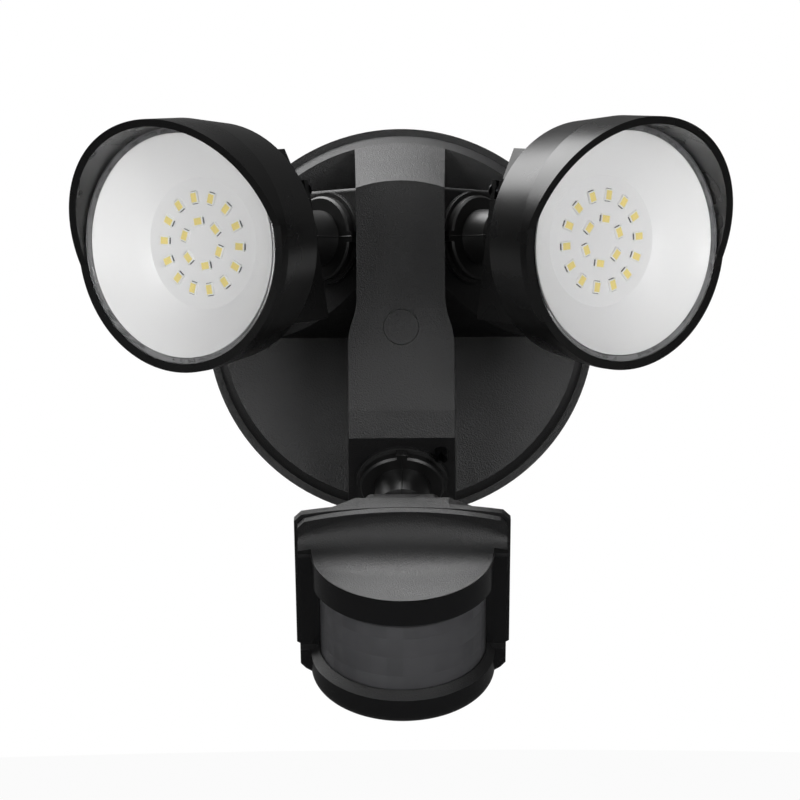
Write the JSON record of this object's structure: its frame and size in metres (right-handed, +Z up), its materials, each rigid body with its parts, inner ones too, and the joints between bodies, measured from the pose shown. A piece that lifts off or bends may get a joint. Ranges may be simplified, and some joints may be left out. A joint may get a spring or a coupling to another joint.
{
  "type": "motion sensor security light",
  "caption": "Wall light: round canopy with a raised spine, hooded round LED lamp heads and a motion sensor head on ball-jointed arms.",
  "frame": {"origin": "centre of the canopy where its gasket meets the wall", "axes": "+Z up the wall, +Y into the wall, -Y out of the wall towards the viewer, +X to the viewer's right"},
  "size_m": [0.1962, 0.1122, 0.1828],
  "materials": {
    "textured_black_abs": "fine spark-eroded texture",
    "satin_black_abs": "satin",
    "black_rubber": "matte",
    "grey_silicone": "satin",
    "acetal_liner": "smooth",
    "zinc_steel": "zinc plated",
    "green_ground_screw": "green dyed",
    "aluminium_plate": "pressed",
    "clear_polycarbonate": "clear",
    "white_reflector": "smooth white",
    "white_led_board": "solder mask",
    "led_phosphor": "phosphor gel in white package",
    "green_board": "solder mask",
    "driver_components": "mixed electronic parts",
    "dark_pir_window": "ribbed on the inside",
    "pyro_can": "drawn can",
    "light_cell": "clear coat",
    "grey_dial": "moulded"
  },
  "bodies": {
    "root": {"housing": "textured_black_abs", "wall_gasket": "black_rubber", "crossbar": "zinc_steel", "ground_screw": "green_ground_screw", "centre_bolt": "zinc_steel", "screw_plug": "satin_black_abs", "driver_cover": "satin_black_abs", "driver_cover_screws": "zinc_steel", "driver_board": "green_board", "driver_parts": "driver_components", "wire_grommet": "black_rubber", "arm_gaskets": "black_rubber", "sensor_lock_screw": "zinc_steel"},
    "lamp_left_arm": {"lamp_left_arm": "satin_black_abs", "lamp_left_arm_nut": "satin_black_abs"},
    "lamp_left_ball_liner": {"lamp_left_ball_liner": "acetal_liner"},
    "lamp_left_head": {"lamp_left_housing": "satin_black_abs", "lamp_left_rear_cover": "satin_black_abs", "lamp_left_cover_screws": "zinc_steel", "lamp_left_cover_seal": "black_rubber", "lamp_left_ball_retainer": "acetal_liner", "lamp_left_retainer_screws": "zinc_steel", "lamp_left_lens": "clear_polycarbonate", "lamp_left_lens_seal": "grey_silicone", "lamp_left_reflector": "white_reflector", "lamp_left_led_board": "white_led_board", "lamp_left_leds": "led_phosphor", "lamp_left_heat_plate": "aluminium_plate"},
    "lamp_right_arm": {"lamp_right_arm": "satin_black_abs", "lamp_right_arm_nut": "satin_black_abs"},
    "lamp_right_ball_liner": {"lamp_right_ball_liner": "acetal_liner"},
    "lamp_right_head": {"lamp_right_housing": "satin_black_abs", "lamp_right_rear_cover": "satin_black_abs", "lamp_right_cover_screws": "zinc_steel", "lamp_right_cover_seal": "black_rubber", "lamp_right_ball_retainer": "acetal_liner", "lamp_right_retainer_screws": "zinc_steel", "lamp_right_lens": "clear_polycarbonate", "lamp_right_lens_seal": "grey_silicone", "lamp_right_reflector": "white_reflector", "lamp_right_led_board": "white_led_board", "lamp_right_leds": "led_phosphor", "lamp_right_heat_plate": "aluminium_plate"},
    "sensor_arm": {"sensor_arm": "satin_black_abs", "sensor_arm_nut": "satin_black_abs"},
    "sensor_ball_liner": {"sensor_ball_liner": "acetal_liner"},
    "sensor_head": {"sensor_front_case": "textured_black_abs", "sensor_rear_case": "textured_black_abs", "sensor_case_screws": "zinc_steel", "sensor_case_seal": "black_rubber", "sensor_pir_lens": "dark_pir_window", "sensor_board": "green_board", "sensor_pyro_element": "pyro_can", "sensor_light_cell": "light_cell", "sensor_ball_retainer": "acetal_liner", "sensor_retainer_screws": "zinc_steel"},
    "sensor_time_dial": {"sensor_time_dial": "grey_dial"},
    "sensor_lux_dial": {"sensor_lux_dial": "grey_dial"},
    "sensor_range_dial": {"sensor_range_dial": "grey_dial"}
  },
  "joints": [
    {"name": "lamp_left_arm_swivel", "type": "hinge", "parent": "root", "child": "lamp_left_arm", "pos_m": [-0.0386, -0.0486, 0.0253], "axis": [-0.7071, -0.7071, 0], "range_deg": [-90, 90]},
    {"name": "lamp_left_pan", "type": "hinge", "parent": "lamp_left_arm", "child": "lamp_left_ball_liner", "pos_m": [-0.0386, -0.0486, 0.0253], "axis": [-0.1587, -0.0206, 0.9871], "range_deg": [-30, 6]},
    {"name": "lamp_left_tilt", "type": "hinge", "parent": "lamp_left_ball_liner", "child": "lamp_left_head", "pos_m": [-0.0386, -0.0486, 0.0253], "axis": [0.8255, -0.5513, 0.1212], "range_deg": [-24, 12]},
    {"name": "lamp_right_arm_swivel", "type": "hinge", "parent": "root", "child": "lamp_right_arm", "pos_m": [0.0386, -0.0486, 0.0253], "axis": [0.7071, -0.7071, 0], "range_deg": [-90, 90]},
    {"name": "lamp_right_pan", "type": "hinge", "parent": "lamp_right_arm", "child": "lamp_right_ball_liner", "pos_m": [0.0386, -0.0486, 0.0253], "axis": [0.1311, -0.0353, 0.9907], "range_deg": [-8, 28]},
    {"name": "lamp_right_tilt", "type": "hinge", "parent": "lamp_right_ball_liner", "child": "lamp_right_head", "pos_m": [0.0386, -0.0486, 0.0253], "axis": [0.8108, 0.5789, -0.0867], "range_deg": [-24, 12]},
    {"name": "sensor_arm_swivel", "type": "hinge", "parent": "root", "child": "sensor_arm", "pos_m": [0, -0.0494, -0.0654], "axis": [0, -0.7071, -0.7071], "range_deg": [-90, 90]},
    {"name": "sensor_pan", "type": "hinge", "parent": "sensor_arm", "child": "sensor_ball_liner", "pos_m": [0, -0.0494, -0.0654], "axis": [0, -0.4695, 0.8829], "range_deg": [-16, 16]},
    {"name": "sensor_tilt", "type": "hinge", "parent": "sensor_ball_liner", "child": "sensor_head", "pos_m": [0, -0.0494, -0.0654], "axis": [1, 0, 0], "range_deg": [-3, 33]},
    {"name": "time_dial_turn", "type": "hinge", "parent": "sensor_head", "child": "sensor_time_dial", "pos_m": [-0.0125, -0.0478, -0.11314], "axis": [0, -0.4695, 0.8829], "range_deg": [-135, 135]},
    {"name": "lux_dial_turn", "type": "hinge", "parent": "sensor_head", "child": "sensor_lux_dial", "pos_m": [0, -0.0478, -0.11314], "axis": [0, -0.4695, 0.8829], "range_deg": [-135, 135]},
    {"name": "range_dial_turn", "type": "hinge", "parent": "sensor_head", "child": "sensor_range_dial", "pos_m": [0.0125, -0.0478, -0.11314], "axis": [0, -0.4695, 0.8829], "range_deg": [-135, 135]}
  ]
}
